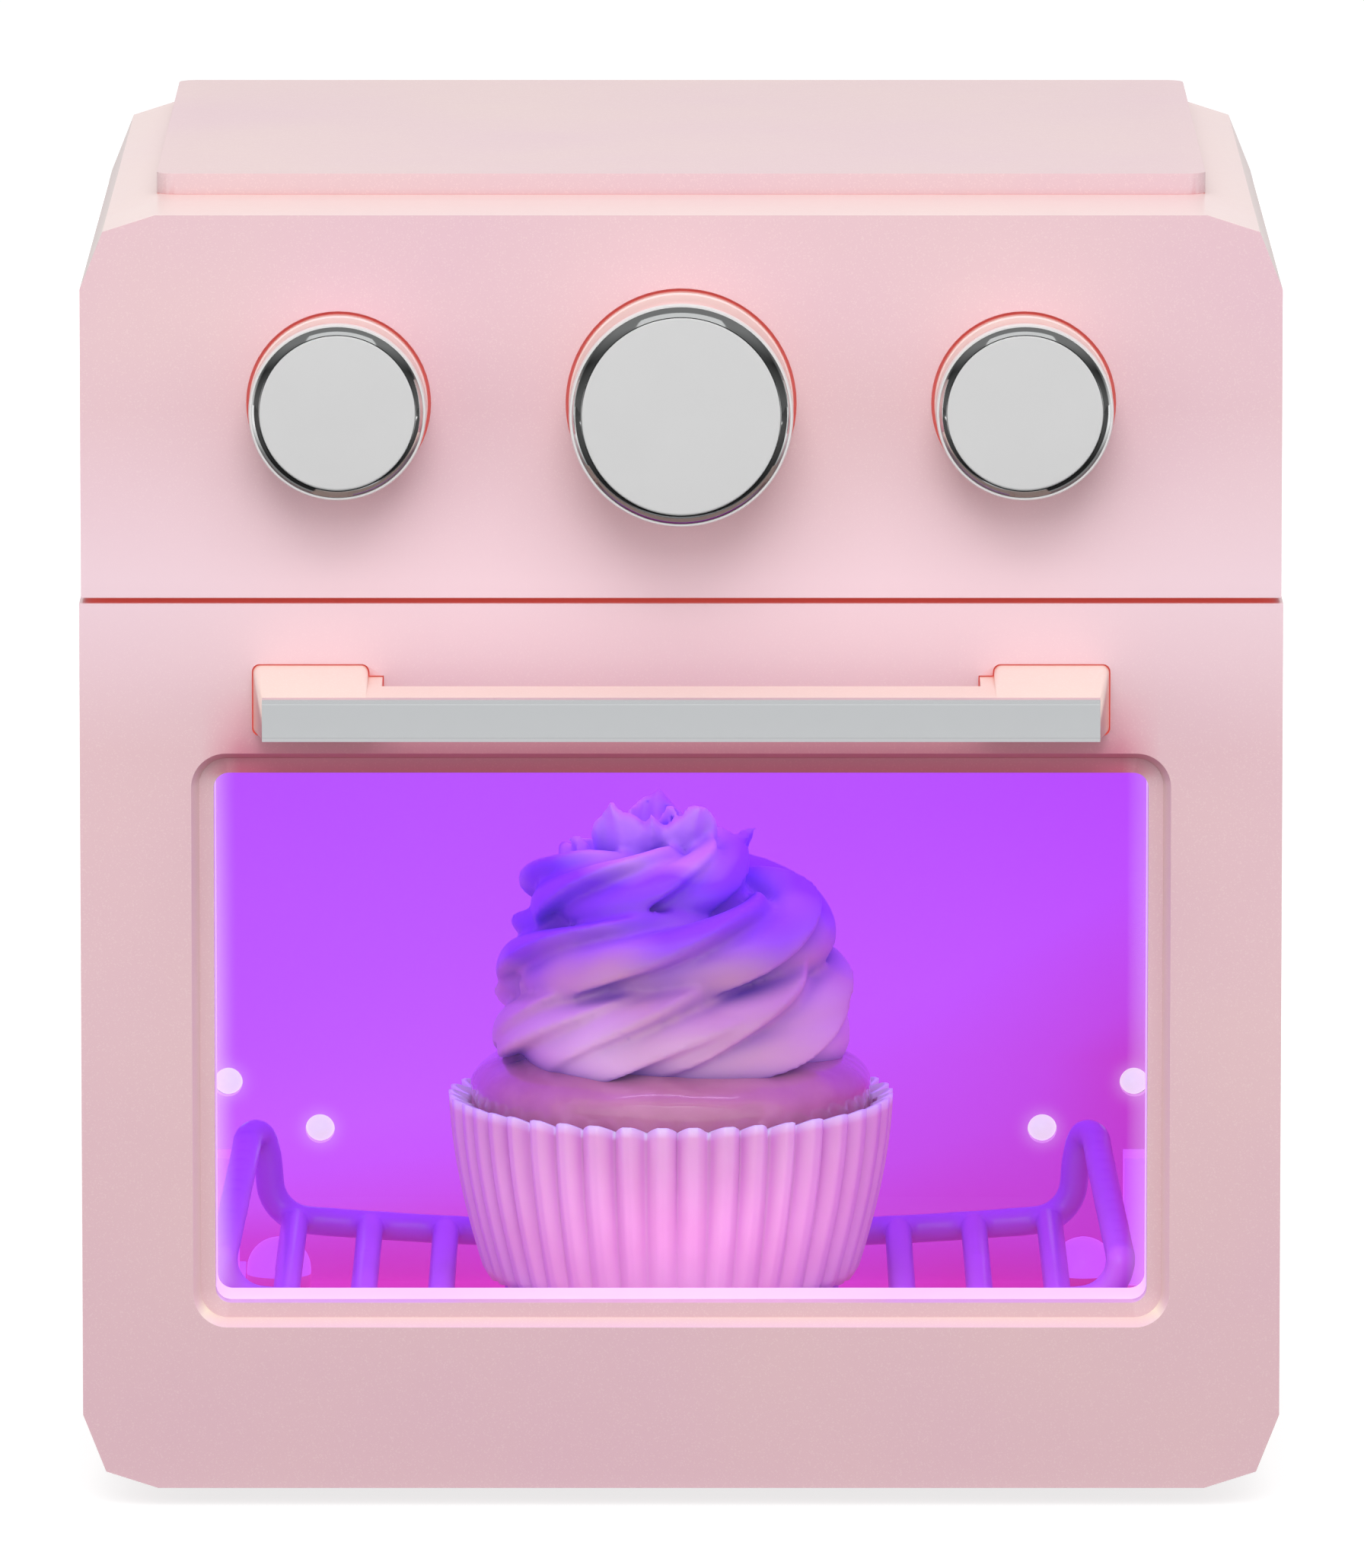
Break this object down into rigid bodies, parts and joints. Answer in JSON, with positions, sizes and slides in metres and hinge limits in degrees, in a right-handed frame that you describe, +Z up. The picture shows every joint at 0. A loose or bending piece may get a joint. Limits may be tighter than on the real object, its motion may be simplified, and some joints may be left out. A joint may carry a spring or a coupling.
{
  "type": "toy oven",
  "caption": "Small pink toy oven with a drop-down windowed door, turning knobs, a lit cavity, a lift-out rack and a frosted play cupcake.",
  "frame": {"origin": "middle of the bounding box at the resting face under the feet", "axes": "+Z up, the door faces -Y, +X to the viewer's right"},
  "size_m": [0.1254, 0.125, 0.1386],
  "materials": {
    "shell_pink": "pearl gloss",
    "top_pink": "satin",
    "inner_pink": "satin",
    "cavity_violet": "satin",
    "rack_violet": "satin",
    "foot_grey": "matt",
    "steel": "zinc plated",
    "chromed": "chromed plastic",
    "disc_grey": "satin silver",
    "lens": "diffused lens, lit",
    "board_green": "solder resist",
    "black_plastic": "matt",
    "cell_jacket": "printed sleeve",
    "contact_metal": "nickel plated",
    "lead_red": "vinyl",
    "lead_black": "vinyl",
    "pane_clear": "clear plastic",
    "liner_paper": "pleated moulding",
    "cake_brown": "moulded",
    "frosting_lilac": "moulded"
  },
  "bodies": {
    "body": {"housing": "shell_pink", "control_panel": "shell_pink", "top_plate": "top_pink", "back_cover": "shell_pink", "battery_door": "shell_pink", "battery_door_screw": "steel", "back_screws": "steel", "panel_screws": "steel", "rubber_feet": "foot_grey", "cavity_liner": "cavity_violet", "liner_screws": "steel", "leds": "lens", "led_board": "board_green", "led_board_screws": "steel", "control_board": "board_green", "control_board_screws": "steel", "rotary_switch": "black_plastic", "battery_holder": "black_plastic", "battery_cells": "cell_jacket", "battery_contacts": "contact_metal", "battery_leads": "lead_red", "led_leads": "lead_black"},
    "door": {"door_shell": "shell_pink", "door_inner_frame": "inner_pink", "window_pane": "pane_clear", "door_screws": "steel", "hinge_pins": "steel", "handle_bracket": "shell_pink", "handle_trim": "chromed", "handle_screws": "steel"},
    "centre_knob": {"centre_knob_skirt": "shell_pink", "centre_knob_ring": "chromed", "centre_knob_disc": "disc_grey", "switch_shaft": "black_plastic"},
    "left_knob": {"left_knob_skirt": "shell_pink", "left_knob_ring": "chromed", "left_knob_disc": "disc_grey", "left_knob_screw": "steel"},
    "right_knob": {"right_knob_skirt": "shell_pink", "right_knob_ring": "chromed", "right_knob_disc": "disc_grey", "right_knob_screw": "steel"},
    "rack": {"rack": "rack_violet"},
    "cupcake": {"cupcake_liner": "liner_paper", "cupcake_cake": "cake_brown", "cupcake_frosting": "frosting_lilac"}
  },
  "joints": [
    {"name": "door_hinge", "type": "hinge", "parent": "body", "child": "door", "pos_m": [0, -0.0405, 0.0097], "axis": [1, 0, 0], "range_deg": [0, 78]},
    {"name": "centre_knob_turn", "type": "hinge", "parent": "body", "child": "centre_knob", "pos_m": [0, -0.0455, 0.11675], "axis": [0, 1, 0], "range_deg": [0, 270]},
    {"name": "left_knob_turn", "type": "hinge", "parent": "body", "child": "left_knob", "pos_m": [-0.0356, -0.0455, 0.11675], "axis": [0, 1, 0], "continuous": true},
    {"name": "right_knob_turn", "type": "hinge", "parent": "body", "child": "right_knob", "pos_m": [0.0356, -0.0455, 0.11675], "axis": [0, 1, 0], "continuous": true},
    {"name": "rack_lift", "type": "slide", "parent": "body", "child": "rack", "axis": [0, 0, 1], "range_m": [0, 0.006]},
    {"name": "cupcake_lift", "type": "slide", "parent": "rack", "child": "cupcake", "axis": [0, 0, 1], "range_m": [0, 0.005]}
  ]
}
